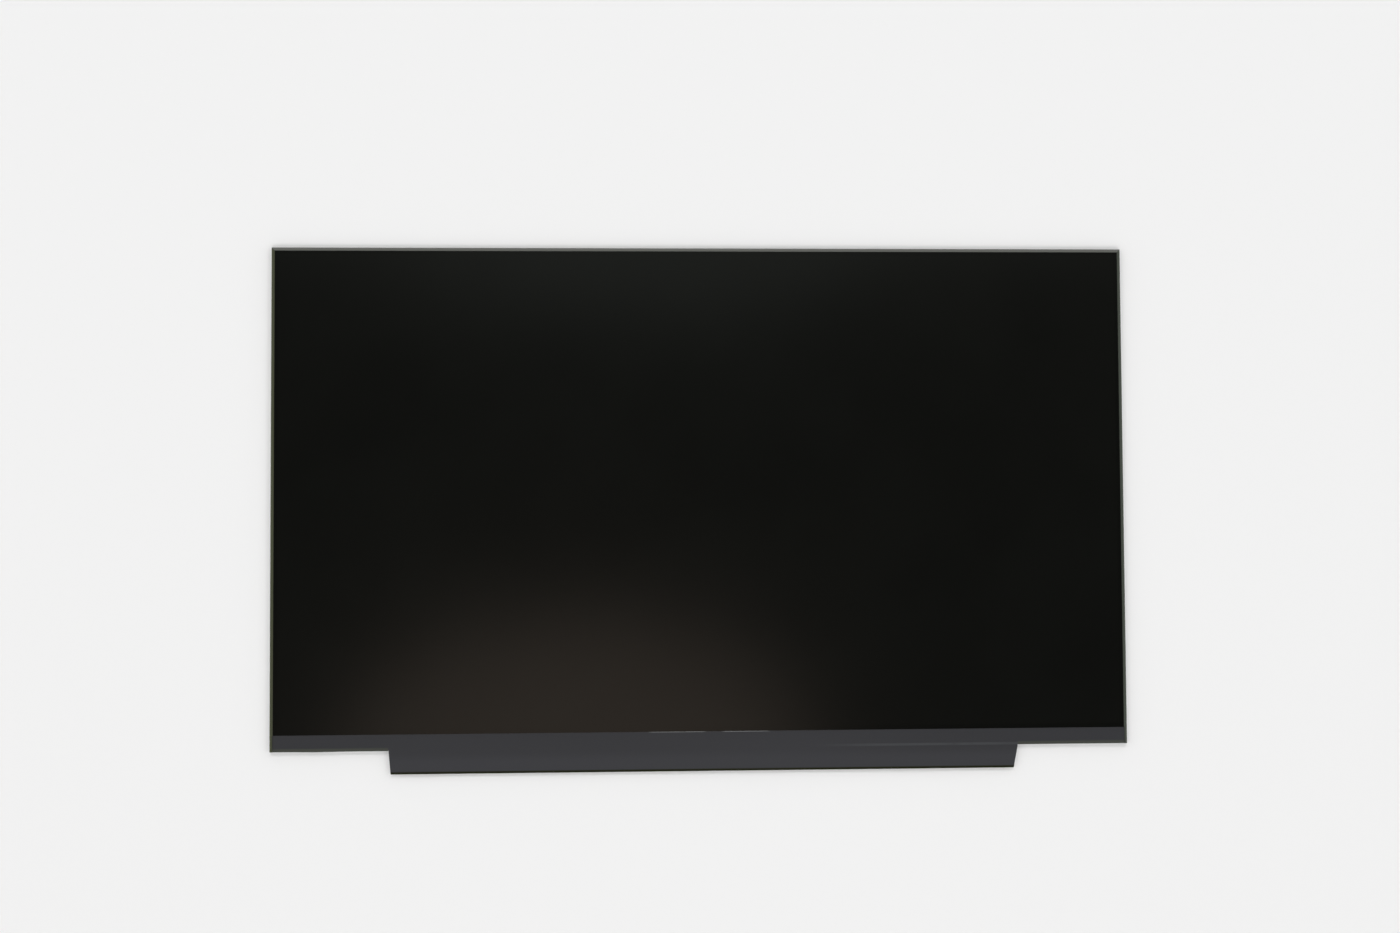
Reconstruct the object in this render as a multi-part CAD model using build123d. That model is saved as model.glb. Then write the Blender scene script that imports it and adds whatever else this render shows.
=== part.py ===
from build123d import *
import os

# Laptop display panel: a slim edge-lit liquid-crystal module without brackets, lying face up.
# X runs across the screen, Y up the screen and Z out of the screen, in millimetres.
# The pieces are laid out with Y = 0 at the lower edge of the body, and moved to the middle at the end.

# Outline of the body and of the board tab below it
panel_width = 350.66
body_height = 205.1
tab_drop = 9.5
tab_left = 127.5
tab_right = 129.6
tab_left_taper = 0.8
tab_right_taper = 1.7

# Thickness of each layer, from back to front
plate_thickness = 0.30
reflector_thickness = 0.15
guide_thickness = 0.60
lower_diffuser_thickness = 0.10
lower_prism_thickness = 0.13
upper_prism_thickness = 0.17
upper_diffuser_thickness = 0.08
film_gap = 0.08
rear_polariser_thickness = 0.15
shading_tape_thickness = 0.06
array_glass_thickness = 0.30
filter_glass_thickness = 0.30
front_polariser_thickness = 0.20

# Tapes round the edge and over the board
tape_thickness = 0.08
tape_gap = 0.02
front_lip = 1.1
back_lip = 5.0
lip_gap = 0.05
edge_fold_radius = 0.42
mitre_gap = 0.10
recess_margin = 0.3
glass_gap = 0.20
cover_overlap = 1.0
cover_fold_radius = 0.25
cover_fold_depth = 1.2
crease_height = 0.5
crease_run = 1.2
crease_radius = 0.6
root_relief = 0.4
rear_cover_lap = 7.5
rear_cover_inset = 0.4

# Rear plate, a folded tray
bend_radius = 0.20
corner_relief = 1.0
hook_length = 6.0
hook_height = 0.35
hook_spacing = 60.0
hook_clearance = 0.10

# Mould frame and the sheets inside it
frame_clearance = 0.05
frame_overhang = 0.30
frame_bar = 1.6
bottom_bar = 4.5
sheet_clearance = 0.20
ear_length = 8.0
ear_reach = 0.8
ear_inset = 30.0
film_setback = 1.0
shade_overlap = 0.2
shade_inset = 0.3

# Light bar along the lower edge of the light guide
led_length = 3.8
led_depth = 0.85
led_height = 0.60
led_pitch = 6.3
led_gap = 0.10
led_window_wall = 0.12
led_window_depth = 0.15
strip_gap = 0.03
strip_below_led = 2.0
strip_under_guide = 0.9
tail_width = 7.0
tail_clearance = 0.3
tail_grip = 2.0

# Driver ledge of the cell
glass_foot = 1.6
driver_ledge = 4.1
ledge_gap = 0.4
land_gap = 0.15
chip_count = 4
chip_length = 30.0
chip_width = 1.3
chip_cover_gap = 0.02
flex_width = 40.0
flex_thickness = 0.08
flex_land = 1.7
flex_bend_radius = 0.5

# Driver board in the tab
board_thickness = 0.5
board_gap = 0.5
board_drop = 0.10
board_end_gap = 0.3
board_fold_gap = 0.45
board_corner = 1.0
tooling_hole = 1.5
tooling_hole_inset = 5.0

# Packages on the back of the board: side, thickness, and distance from a neighbour along the board
timing_chip_size = 6.6
timing_chip_height = 0.85
timing_chip_from_socket = 75.0
power_chip_size = 5.0
power_chip_height = 0.80
power_chip_from_timing_chip = 54.0
backlight_chip_size = 4.0
backlight_chip_height = 0.75
backlight_chip_from_tail = 27.0
memory_chip_size = 3.0
memory_chip_height = 0.60
memory_chip_from_timing_chip = 24.0
package_edge = 0.08
index_mark_radius = 0.3
index_mark_depth = 0.05
index_mark_inset = 0.9
coil_size = 4.0
coil_height = 1.10
coil_corner = 0.9
coil_spacing = 8.5
capacitor_length = 1.0
capacitor_width = 0.5
capacitor_height = 0.5
capacitor_pitch = 1.4
capacitors_per_column = 4
capacitor_gap = 0.6

# Socket that takes the tail of the light bar
led_socket_width = 10.0
led_socket_depth = 3.2
led_socket_height = 0.95
led_socket_setback = 1.2
led_socket_inset = 24.0
led_slot_clearance = 0.05
tail_rise_gap = 0.2

# Signal socket, open towards the lower edge of the board
socket_inset = 31.0
socket_setback = 0.9
socket_width = 22.0
socket_depth = 4.0
socket_height = 1.05
socket_shell_thickness = 0.15
socket_shell_gap = 0.03
socket_shell_bend = 0.10
socket_post = 1.6
socket_back_wall = 1.0
socket_floor = 0.20
socket_window_length = 3.2
socket_window_width = 0.7
socket_window_count = 4
contact_count = 30
contact_pitch = 0.5
contact_width = 0.20
contact_thickness = 0.12
contact_clearance = 0.03
contact_tail = 0.65
contact_setback = 0.5
contact_bump = 0.18
socket_opening_margin = 0.8

# Levels above the rest plane, from back to front
plate_top = plate_thickness
tape_recess = tape_thickness + tape_gap
guide_bottom = plate_top + reflector_thickness
guide_top = guide_bottom + guide_thickness
lower_prism_bottom = guide_top + lower_diffuser_thickness
upper_prism_bottom = lower_prism_bottom + lower_prism_thickness
upper_diffuser_bottom = upper_prism_bottom + upper_prism_thickness
films_top = upper_diffuser_bottom + upper_diffuser_thickness
rear_polariser_bottom = films_top + film_gap
array_bottom = rear_polariser_bottom + rear_polariser_thickness
frame_top = array_bottom - shading_tape_thickness
flange_top = frame_top - frame_overhang - frame_clearance
array_top = array_bottom + array_glass_thickness
filter_top = array_top + filter_glass_thickness
panel_front = filter_top + front_polariser_thickness
board_front = array_top - board_drop
board_back = board_front - board_thickness
strip_thickness = reflector_thickness - strip_gap
strip_top = plate_top + strip_thickness

# Places across the panel, as half widths, and up the panel, from the outside in
half_width = panel_width / 2
plate_half = half_width - tape_recess
plate_low = tape_recess
plate_high = body_height - tape_recess
frame_half = plate_half - plate_thickness - frame_clearance
frame_low = plate_low + plate_thickness + frame_clearance
frame_high = plate_high - plate_thickness - frame_clearance
opening_half = frame_half - frame_bar
opening_low = frame_low + bottom_bar
opening_high = frame_high - frame_bar
sheet_half = opening_half - sheet_clearance
sheet_high = opening_high - sheet_clearance
led_low = opening_low + led_gap
led_high = led_low + led_depth
guide_low = led_high + led_gap
film_low = guide_low + film_setback
strip_low = led_low - strip_below_led
strip_high = guide_low + strip_under_guide
shade_low = film_low + shade_overlap
glass_half = half_width - tape_thickness - glass_gap
glass_high = body_height - tape_thickness - glass_gap
ground_edge = edge_fold_radius - glass_gap
filter_low = glass_foot + driver_ledge
polariser_half = half_width - front_lip - lip_gap
polariser_low = filter_low + cover_overlap
polariser_high = body_height - front_lip - lip_gap
cover_high = polariser_low - lip_gap

# Places on the board
board_left = -(tab_left - tab_left_taper - board_end_gap)
board_right = tab_right - tab_right_taper - board_end_gap
board_high = -board_gap
board_low = -tab_drop + tape_thickness + board_fold_gap
board_middle = (board_low + board_high) / 2
board_length = board_right - board_left
tail_place = board_right - led_socket_inset
led_socket_high = board_high - led_socket_setback
led_slot_middle = board_back - led_socket_height / 2
socket_place = board_left + socket_inset
timing_chip_place = socket_place + timing_chip_from_socket
memory_chip_place = timing_chip_place - memory_chip_from_timing_chip
power_chip_place = timing_chip_place + power_chip_from_timing_chip
backlight_chip_place = tail_place - backlight_chip_from_tail
socket_high = board_high - socket_setback
socket_low = socket_high - socket_depth
socket_inner_half = socket_width / 2 - socket_shell_thickness - socket_shell_gap
socket_body_height = socket_height - socket_shell_thickness - socket_shell_gap
contact_row = (contact_count - 1) * contact_pitch + contact_width


def block(x, y, z):
    """Rectangular solid between the low and high ends given along each axis."""
    ends = (x, y, z)
    middle = [(low + high) / 2 for low, high in ends]
    size = [high - low for low, high in ends]
    return Pos(*middle) * Box(*size)


def plan(points, z):
    """Upright prism on a plan outline, between two levels."""
    outline = make_face(Polyline(*points, close=True))
    return extrude(Pos(0, 0, z[0]) * outline, amount=z[1] - z[0])


def folded(points, radii, thickness, side):
    """Section of a sheet that follows a line with rounded corners and lies on one side of it."""
    line = FilletPolyline(*points, radius=radii)
    return make_face(offset(line, amount=thickness, kind=Kind.INTERSECTION, side=side))


def along_x(section, low, high):
    """Section drawn in Y and Z, run along X."""
    return extrude(Plane.YZ.offset(low) * section, amount=high - low)


def along_y(section, low, high):
    """Section drawn in X and Z, run along Y."""
    return extrude(Plane.XZ.offset(-high) * section, amount=high - low)


def row(low, high, spacing):
    """Middles of an even row of copies between two ends, about one spacing apart."""
    count = max(1, round((high - low) / spacing))
    step = (high - low) / count
    return [low + (index + 0.5) * step for index in range(count)]


hooks_up_side = row(frame_low, frame_high, hook_spacing)
hooks_along_top = row(-frame_half, frame_half, hook_spacing)
ears_up_side = [film_low + ear_inset, sheet_high - ear_inset]


def hook_blocks(length, height, inner, outer):
    """Blocks at the hooks of the two sides and the top, reaching from the frame into the flange."""
    middle = (plate_thickness + bend_radius + flange_top) / 2
    level = (middle - height / 2, middle + height / 2)
    blocks = []
    for place in hooks_up_side:
        span = (place - length / 2, place + length / 2)
        blocks.append(block((plate_half - outer, plate_half - inner), span, level))
        blocks.append(block((inner - plate_half, outer - plate_half), span, level))
    for place in hooks_along_top:
        span = (place - length / 2, place + length / 2)
        blocks.append(block(span, (plate_high - outer, plate_high - inner), level))
    return blocks


def channel(low, high):
    """Section of the tray between the inner faces of two flanges."""
    return folded([(low, flange_top), (low, plate_top), (high, plate_top), (high, flange_top)],
                  [bend_radius, bend_radius], plate_thickness, Side.RIGHT)


def rear_plate():
    """Metal tray: two crossed channels share the floor, and their notched corners are the bend reliefs."""
    inner_half = plate_half - plate_thickness
    inner_low = plate_low + plate_thickness
    inner_high = plate_high - plate_thickness
    across = channel(-inner_half, inner_half)
    upward = channel(inner_low, inner_high)
    tray = along_y(across, plate_low + corner_relief, plate_high - corner_relief)
    tray += along_x(upward, corner_relief - plate_half, plate_half - corner_relief)

    # The border of the back is coined in, so that the tapes lie below the rest plane
    border = block((-half_width, half_width), (0, body_height), (0, tape_recess))
    field_half = half_width - back_lip - recess_margin
    field = block((-field_half, field_half),
                  (rear_cover_lap + recess_margin, body_height - back_lip - recess_margin), (0, tape_recess))
    tray -= border - field

    # Windows for the frame's hooks, and a gap in the lower flange for the tail of the light bar
    tray -= hook_blocks(hook_length + 2 * hook_clearance, hook_height + 2 * hook_clearance,
                        -hook_clearance, plate_thickness + hook_clearance)
    tail_half = tail_width / 2 + tail_clearance
    bend_high = plate_low + plate_thickness + bend_radius
    tray -= block((tail_place - tail_half, tail_place + tail_half), (0, bend_high), (plate_top, frame_top))
    return tray


def mould_frame():
    """Moulded ring: the lower part fits inside the tray, the upper part laps over the flanges."""
    lower = block((-frame_half, frame_half), (frame_low, frame_high), (plate_top, frame_top))
    lower = chamfer(lower.edges().group_by(Axis.Z)[0], bend_radius)
    upper = block((-plate_half, plate_half), (plate_low, plate_high), (frame_top - frame_overhang, frame_top))
    ring = lower + upper
    ring -= block((-opening_half, opening_half), (opening_low, opening_high), (plate_top, frame_top))

    # Pockets for the ears of the sheets
    pocket_half = ear_length / 2 + sheet_clearance
    pocket_reach = sheet_half + ear_reach + sheet_clearance
    for place in ears_up_side:
        ring -= block((-pocket_reach, pocket_reach), (place - pocket_half, place + pocket_half),
                      (plate_top, frame_top))

    # Relief under the lower bar for the light strip and its tail
    relief_half = sheet_half + sheet_clearance
    relief = (plate_top, strip_top + strip_gap)
    ring -= block((-relief_half, relief_half), (strip_low - sheet_clearance, opening_low), relief)
    tail_half = tail_width / 2 + tail_clearance
    ring -= block((tail_place - tail_half, tail_place + tail_half), (0, opening_low), relief)

    # Hooks, and the raised lands that carry the cover tape beside the tab
    ring += hook_blocks(hook_length, hook_height, hook_clearance, plate_thickness + frame_clearance)
    for side, corner in ((-1, tab_left), (1, tab_right)):
        ends = sorted((side * (corner + land_gap), side * (glass_half - ground_edge)))
        land = block(ends, (plate_low, glass_foot - land_gap), (frame_top, filter_top))
        ring += chamfer(land.edges().group_by(Axis.Z)[-1].sort_by(Axis.Y)[0], cover_fold_radius)
    return ring


def eared_sheet(low, bottom, thickness):
    """Backlight sheet with locating ears on both sides."""
    level = (bottom, bottom + thickness)
    sheet = block((-sheet_half, sheet_half), (low, sheet_high), level)
    reach = sheet_half + ear_reach
    for place in ears_up_side:
        sheet += block((-reach, reach), (place - ear_length / 2, place + ear_length / 2), level)
    return sheet


def led_strip():
    """Flexible strip under the leds, with a tail that leaves through the lower flange to the board."""
    strip = block((-sheet_half, sheet_half), (strip_low, strip_high), (plate_top, strip_top))
    slot_low = led_slot_middle - strip_thickness / 2
    tail = folded(
        [(strip_high, plate_top), (-tail_rise_gap, plate_top), (led_socket_high, slot_low),
         (led_socket_high - tail_grip, slot_low)],
        [flex_bend_radius, flex_bend_radius], strip_thickness, Side.RIGHT)
    return strip + along_x(tail, tail_place - tail_width / 2, tail_place + tail_width / 2)


def leds():
    """Row of side-emitting packages, each with a sunk window towards the light guide."""
    led_top = strip_top + led_height
    led = block((-led_length / 2, led_length / 2), (led_low, led_high), (strip_top, led_top))
    window_half = led_length / 2 - led_window_wall
    led -= block((-window_half, window_half), (led_high - led_window_depth, led_high),
                 (strip_top + led_window_wall, led_top - led_window_wall))
    return [Pos(place, 0, 0) * led for place in row(-sheet_half, sheet_half, led_pitch)]


def shading_tape():
    """Black ring that holds the cell to the frame and hides the light bar."""
    outer_half = glass_half - shade_inset
    level = (frame_top, array_bottom)
    ring = block((-outer_half, outer_half), (glass_foot + shade_inset, glass_high - shade_inset), level)
    return ring - block((-opening_half, opening_half), (shade_low, opening_high), level)


def rear_polariser():
    """Polarising film on the back of the cell, inside the shading ring."""
    return block((-sheet_half, sheet_half), (shade_low + sheet_clearance, sheet_high),
                 (rear_polariser_bottom, array_bottom))


def array_glass():
    """Rear pane of the cell, with a ledge for the driver chips below the front pane."""
    return block((-glass_half, glass_half), (glass_foot, glass_high), (array_bottom, array_top))


def filter_glass():
    """Front pane of the cell, ground off along the three edges that the edge strips fold over."""
    pane = block((-glass_half, glass_half), (filter_low, glass_high), (array_top, filter_top))
    return chamfer(pane.edges().group_by(Axis.Z)[-1].sort_by(Axis.Y)[1:], ground_edge)


def front_polariser():
    """Matte polarising film that makes the front of the screen."""
    return block((-polariser_half, polariser_half), (polariser_low, polariser_high),
                 (filter_top, panel_front))


chip_places = row(board_left, board_right, board_length / chip_count)


def driver_chips():
    """Long bare chips bonded to the ledge, just under the cover tape."""
    high = filter_low - ledge_gap
    chip = block((-chip_length / 2, chip_length / 2), (high - chip_width, high),
                 (array_top, filter_top - chip_cover_gap))
    return [Pos(place, 0, 0) * chip for place in chip_places]


def board_flexes():
    """Short flexible links from the ledge down to the front of the board."""
    bond_high = filter_low - ledge_gap - chip_width - ledge_gap
    link = folded(
        [(bond_high, array_top), (glass_foot - land_gap, array_top), (board_high, board_front),
         (board_high - flex_land, board_front)],
        [flex_bend_radius, flex_bend_radius], flex_thickness, Side.RIGHT)
    return [along_x(link, place - flex_width / 2, place + flex_width / 2) for place in chip_places]


def driver_board():
    """Long narrow circuit board with cut corners and two tooling holes."""
    board = block((board_left, board_right), (board_low, board_high), (board_back, board_front))
    board = chamfer(board.edges().filter_by(Axis.Z), board_corner)
    for place in (board_left + tooling_hole_inset, board_right - tooling_hole_inset):
        board -= Pos(place, board_middle, board_back) * Cylinder(tooling_hole / 2, 2 * board_thickness)
    return board


def package(place, size, height):
    """Square chip package on the back of the board, with softened edges and a round index mark."""
    body = block((place - size / 2, place + size / 2), (board_middle - size / 2, board_middle + size / 2),
                 (board_back - height, board_back))
    body = chamfer(body.edges().group_by(Axis.Z)[0], package_edge)
    reach = size / 2 - index_mark_inset
    mark = Cylinder(index_mark_radius, 2 * index_mark_depth)
    return body - Pos(place - reach, board_middle + reach, board_back - height) * mark


def power_coils():
    """Two square coils with rounded corners beside the power and backlight chips."""
    coils = []
    for place in (power_chip_place + coil_spacing, backlight_chip_place - coil_spacing):
        coil = block((place - coil_size / 2, place + coil_size / 2),
                     (board_middle - coil_size / 2, board_middle + coil_size / 2),
                     (board_back - coil_height, board_back))
        coil = fillet(coil.edges().filter_by(Axis.Z), coil_corner)
        coils.append(chamfer(coil.edges().group_by(Axis.Z)[0], package_edge))
    return coils


def board_capacitors():
    """Columns of small capacitors on both sides of each chip."""
    chips = ((timing_chip_place, timing_chip_size), (power_chip_place, power_chip_size),
             (backlight_chip_place, backlight_chip_size), (memory_chip_place, memory_chip_size))
    first = board_middle - (capacitors_per_column - 1) * capacitor_pitch / 2
    pieces = []
    for place, size in chips:
        reach = size / 2 + capacitor_gap + capacitor_length / 2
        for x in (place - reach, place + reach):
            for index in range(capacitors_per_column):
                y = first + index * capacitor_pitch
                pieces.append(block((x - capacitor_length / 2, x + capacitor_length / 2),
                                    (y - capacitor_width / 2, y + capacitor_width / 2),
                                    (board_back - capacitor_height, board_back)))
    return pieces


def led_socket():
    """Low socket with a slot that grips the tail of the light strip."""
    body = block((tail_place - led_socket_width / 2, tail_place + led_socket_width / 2),
                 (led_socket_high - led_socket_depth, led_socket_high),
                 (board_back - led_socket_height, board_back))
    slot_half = tail_width / 2 + led_slot_clearance
    reach = strip_thickness / 2 + led_slot_clearance
    body -= block((tail_place - slot_half, tail_place + slot_half),
                  (led_socket_high - tail_grip - led_slot_clearance, led_socket_high),
                  (led_slot_middle - reach, led_slot_middle + reach))
    return chamfer(body.edges().group_by(Axis.Z)[0], package_edge)


def signal_socket_body():
    """Moulded body, open towards the lower edge, with a slot in its back wall for the contacts."""
    level = (board_back - socket_body_height, board_back)
    body = block((-socket_inner_half, socket_inner_half), (socket_low, socket_high), level)
    mouth_half = socket_inner_half - socket_post
    body -= block((-mouth_half, mouth_half), (socket_low, socket_high - socket_back_wall),
                  (board_back - socket_body_height, board_back - socket_floor))
    slot_half = contact_row / 2 + contact_pitch
    slot = (board_back - socket_floor - contact_thickness - contact_clearance, board_back - socket_floor)
    body -= block((-slot_half, slot_half), (socket_high - socket_back_wall, socket_high), slot)
    return Pos(socket_place, 0, 0) * body


def signal_socket_shell():
    """Folded metal cover over the socket, with windows above the contacts' roots."""
    outer = socket_width / 2 - socket_shell_thickness
    under = board_back - socket_height + socket_shell_thickness
    section = folded([(-outer, board_back), (-outer, under), (outer, under), (outer, board_back)],
                     [socket_shell_bend, socket_shell_bend], socket_shell_thickness, Side.RIGHT)
    shell = along_y(section, socket_low, socket_high)
    window_middle = socket_high - socket_back_wall - socket_window_width
    for x in row(-contact_row / 2, contact_row / 2, contact_row / socket_window_count):
        shell -= block((x - socket_window_length / 2, x + socket_window_length / 2),
                       (window_middle - socket_window_width / 2, window_middle + socket_window_width / 2),
                       (under - socket_shell_thickness, under))
    return Pos(socket_place, 0, 0) * shell


def signal_socket_contacts():
    """Row of sprung contacts: a tail on the board, a step through the back wall and a raised tip."""
    rest = board_back - socket_floor
    tip = socket_low + contact_setback
    section = folded(
        [(socket_high + contact_tail, board_back), (socket_high + 2 * socket_floor, board_back),
         (socket_high + socket_floor, rest), (tip + 4 * contact_bump, rest),
         (tip + 2 * contact_bump, rest - contact_bump), (tip, rest)],
        [0] * 4, contact_thickness, Side.LEFT)
    contact = along_x(section, -contact_width / 2, contact_width / 2)
    first = socket_place - (contact_count - 1) * contact_pitch / 2
    return [Pos(first + index * contact_pitch, 0, 0) * contact for index in range(contact_count)]


def side_edge_tape():
    """Left edge strip: lapped on the front glass, down the side, and under the rear plate."""
    inner = tape_thickness - half_width
    section = folded(
        [(front_lip - half_width, filter_top), (inner, filter_top), (inner, tape_recess),
         (back_lip - half_width, tape_recess)],
        [edge_fold_radius, bend_radius], tape_thickness, Side.RIGHT)
    reach = back_lip + recess_margin
    mitre_high = body_height - mitre_gap
    mitre = plan([(-half_width, 0), (reach - half_width, 0), (reach - half_width, mitre_high - reach),
                  (-half_width, mitre_high)], (0, panel_front))
    return along_y(section, 0, body_height) & mitre


def top_edge_tape():
    """Top edge strip, mitred to the side strips."""
    inner = body_height - tape_thickness
    section = folded(
        [(body_height - front_lip, filter_top), (inner, filter_top), (inner, tape_recess),
         (body_height - back_lip, tape_recess)],
        [edge_fold_radius, bend_radius], tape_thickness, Side.LEFT)
    reach = back_lip + recess_margin
    mitre = plan([(-half_width, body_height), (half_width, body_height),
                  (half_width - reach, body_height - reach), (reach - half_width, body_height - reach)],
                 (0, panel_front))
    return along_x(section, -half_width, half_width) & mitre


def front_cover_tape():
    """Grey tape over the ledge: creased down onto the board, tapered at the tab, folded over beside it."""
    under_tab = board_front + flex_thickness + tape_gap
    fold_low = tape_thickness - tab_drop
    tab_section = folded(
        [(cover_high, filter_top), (crease_height, filter_top), (crease_height - crease_run, under_tab),
         (fold_low, under_tab), (fold_low, board_back)],
        [crease_radius, crease_radius, board_fold_gap], tape_thickness, Side.RIGHT)
    tab_plan = plan([(-tab_left, cover_high), (-tab_left, 0), (tab_left_taper - tab_left, -tab_drop),
                     (tab_right - tab_right_taper, -tab_drop), (tab_right, 0), (tab_right, cover_high)],
                    (0, panel_front))
    cover = along_x(tab_section, -tab_left, tab_right) & tab_plan
    end_section = folded(
        [(cover_high, filter_top), (tape_thickness, filter_top),
         (tape_thickness, filter_top - cover_fold_depth)],
        [cover_fold_radius], tape_thickness, Side.RIGHT)
    cover += along_x(end_section, -polariser_half, -tab_left)
    cover += along_x(end_section, tab_right, polariser_half)
    return cover - Pos(-tab_left, 0, 0) * Cylinder(root_relief, 2 * panel_front)


def rear_cover_film():
    """Black film over the back of the board, lapped on the rear plate and open round the signal socket."""
    band_half = half_width - back_lip - mitre_gap
    low = rear_cover_inset - tab_drop
    left = rear_cover_inset - tab_left
    right = tab_right - rear_cover_inset
    film = plan([(-band_half, rear_cover_lap), (-band_half, plate_low), (left, plate_low), (left, 0),
                 (left + tab_left_taper, low), (right - tab_right_taper, low), (right, 0), (right, plate_low),
                 (band_half, plate_low), (band_half, rear_cover_lap)], (tape_gap, tape_recess))
    window_half = socket_width / 2 + socket_opening_margin
    return film - block((socket_place - window_half, socket_place + window_half),
                        (-tab_drop, board_high - tape_gap), (tape_gap, tape_recess))


left_tape = side_edge_tape()

pieces = {
    "rear_plate": rear_plate(),
    "mould_frame": mould_frame(),
    "reflector_sheet": eared_sheet(strip_high + sheet_clearance, plate_top, reflector_thickness),
    "light_guide": eared_sheet(guide_low, guide_bottom, guide_thickness),
    "lower_diffuser": eared_sheet(film_low, guide_top, lower_diffuser_thickness),
    "lower_prism_sheet": eared_sheet(film_low, lower_prism_bottom, lower_prism_thickness),
    "upper_prism_sheet": eared_sheet(film_low, upper_prism_bottom, upper_prism_thickness),
    "upper_diffuser": eared_sheet(film_low, upper_diffuser_bottom, upper_diffuser_thickness),
    "led_strip": led_strip(),
    "leds": leds(),
    "shading_tape": shading_tape(),
    "rear_polariser": rear_polariser(),
    "array_glass": array_glass(),
    "filter_glass": filter_glass(),
    "front_polariser": front_polariser(),
    "driver_chips": driver_chips(),
    "board_flexes": board_flexes(),
    "driver_board": driver_board(),
    "timing_chip": package(timing_chip_place, timing_chip_size, timing_chip_height),
    "power_chip": package(power_chip_place, power_chip_size, power_chip_height),
    "backlight_chip": package(backlight_chip_place, backlight_chip_size, backlight_chip_height),
    "memory_chip": package(memory_chip_place, memory_chip_size, memory_chip_height),
    "power_coils": power_coils(),
    "board_capacitors": board_capacitors(),
    "led_socket": led_socket(),
    "signal_socket_body": signal_socket_body(),
    "signal_socket_shell": signal_socket_shell(),
    "signal_socket_contacts": signal_socket_contacts(),
    "left_edge_tape": left_tape,
    "right_edge_tape": mirror(left_tape, about=Plane.YZ),
    "top_edge_tape": top_edge_tape(),
    "front_cover_tape": front_cover_tape(),
    "rear_cover_film": rear_cover_film(),
}

# The middle of the whole outline, board tab included, becomes the origin
to_middle = Pos(0, (tab_drop - body_height) / 2, 0)

os.makedirs("parts", exist_ok=True)
for name, piece in pieces.items():
    solids = piece if isinstance(piece, list) else [piece]
    shape = Compound([to_middle * solid for whole in solids for solid in whole.solids()])
    export_step(shape, f"parts/{name}.step")
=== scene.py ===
"""Dress the slim laptop display panel: folded tapes, procedural finishes, stage and camera."""

from math import cos, pi, radians, sin

import bmesh
import bpy
from bpy.props import FloatProperty, FloatVectorProperty, IntProperty, PointerProperty
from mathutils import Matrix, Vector, noise


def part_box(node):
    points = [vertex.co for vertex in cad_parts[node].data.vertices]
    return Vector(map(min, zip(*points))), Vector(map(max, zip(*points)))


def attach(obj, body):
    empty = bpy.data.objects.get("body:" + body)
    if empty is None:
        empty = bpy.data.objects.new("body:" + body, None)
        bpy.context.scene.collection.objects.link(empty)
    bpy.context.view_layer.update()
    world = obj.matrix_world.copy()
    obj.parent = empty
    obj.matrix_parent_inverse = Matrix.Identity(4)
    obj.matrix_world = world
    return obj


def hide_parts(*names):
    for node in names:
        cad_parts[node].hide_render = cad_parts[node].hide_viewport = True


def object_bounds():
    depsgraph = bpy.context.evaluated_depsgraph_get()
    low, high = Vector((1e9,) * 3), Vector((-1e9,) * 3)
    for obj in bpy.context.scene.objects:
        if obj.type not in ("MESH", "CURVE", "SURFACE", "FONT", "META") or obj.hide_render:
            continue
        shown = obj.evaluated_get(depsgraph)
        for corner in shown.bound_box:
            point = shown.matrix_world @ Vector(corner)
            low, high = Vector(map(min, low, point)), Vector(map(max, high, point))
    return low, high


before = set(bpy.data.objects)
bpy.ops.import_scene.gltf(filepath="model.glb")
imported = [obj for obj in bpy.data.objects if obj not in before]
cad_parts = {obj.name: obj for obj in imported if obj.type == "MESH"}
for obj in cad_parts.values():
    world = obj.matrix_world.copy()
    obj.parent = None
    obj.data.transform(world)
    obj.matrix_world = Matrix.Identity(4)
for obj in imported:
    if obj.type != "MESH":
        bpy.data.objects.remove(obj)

bl_info = {
    "name": "Laptop Display Panel",
    "version": (1, 0, 0),
    "blender": (4, 5, 0),
    "location": "View3D > Sidebar > Display Panel",
    "description": "Tapes, finishes and studio stage of a slim laptop display panel",
    "category": "Object",
}

CAD_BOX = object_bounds()
MM = 0.001

# Places taken from the frame, in metres
SCREEN_LOW, SCREEN_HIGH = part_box("front_polariser")
COVER_LOW, COVER_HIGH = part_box("front_cover_tape")
STRIP_LOW, STRIP_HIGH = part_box("left_edge_tape")
BOARD_LOW, BOARD_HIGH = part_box("driver_board")
BODY_HALF = -STRIP_LOW.x
BODY_LOW_EDGE = STRIP_LOW.y
BODY_HIGH_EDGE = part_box("top_edge_tape")[1].y

CHIPS = ("timing_chip", "power_chip", "backlight_chip", "memory_chip")

# Ranges in which most of a noise lies
SOFT_NOISE = (0.3, 0.7)
WIDE_NOISE = (0.25, 0.75)


def size(name, description, millimetres):
    """A length that a user may change, given in millimetres."""
    return FloatProperty(name=name, description=description, default=millimetres * MM, unit="LENGTH",
                         precision=6)


def colour(name, description, *rgb):
    """A colour that a user may change, in linear light."""
    return FloatVectorProperty(name=name, description=description, default=rgb, subtype="COLOR", size=3,
                               min=0.0, max=1.0)


def place(name, description, *millimetres):
    """A place over the panel that a user may change, given in millimetres."""
    return FloatVectorProperty(name=name, description=description, subtype="TRANSLATION", unit="LENGTH",
                               size=3, default=[value * MM for value in millimetres])


def span(name, description, *millimetres):
    """A width and depth that a user may change, given in millimetres."""
    return FloatVectorProperty(name=name, description=description, unit="LENGTH", size=2,
                               default=[value * MM for value in millimetres])


def angle(name, description, degrees):
    """An angle that a user may change, given in degrees."""
    return FloatProperty(name=name, description=description, default=radians(degrees), subtype="ANGLE")


def power(name, description, watts):
    """The power of a card that a user may change."""
    return FloatProperty(name=name, description=description, default=watts, min=0.0, unit="POWER")


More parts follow.
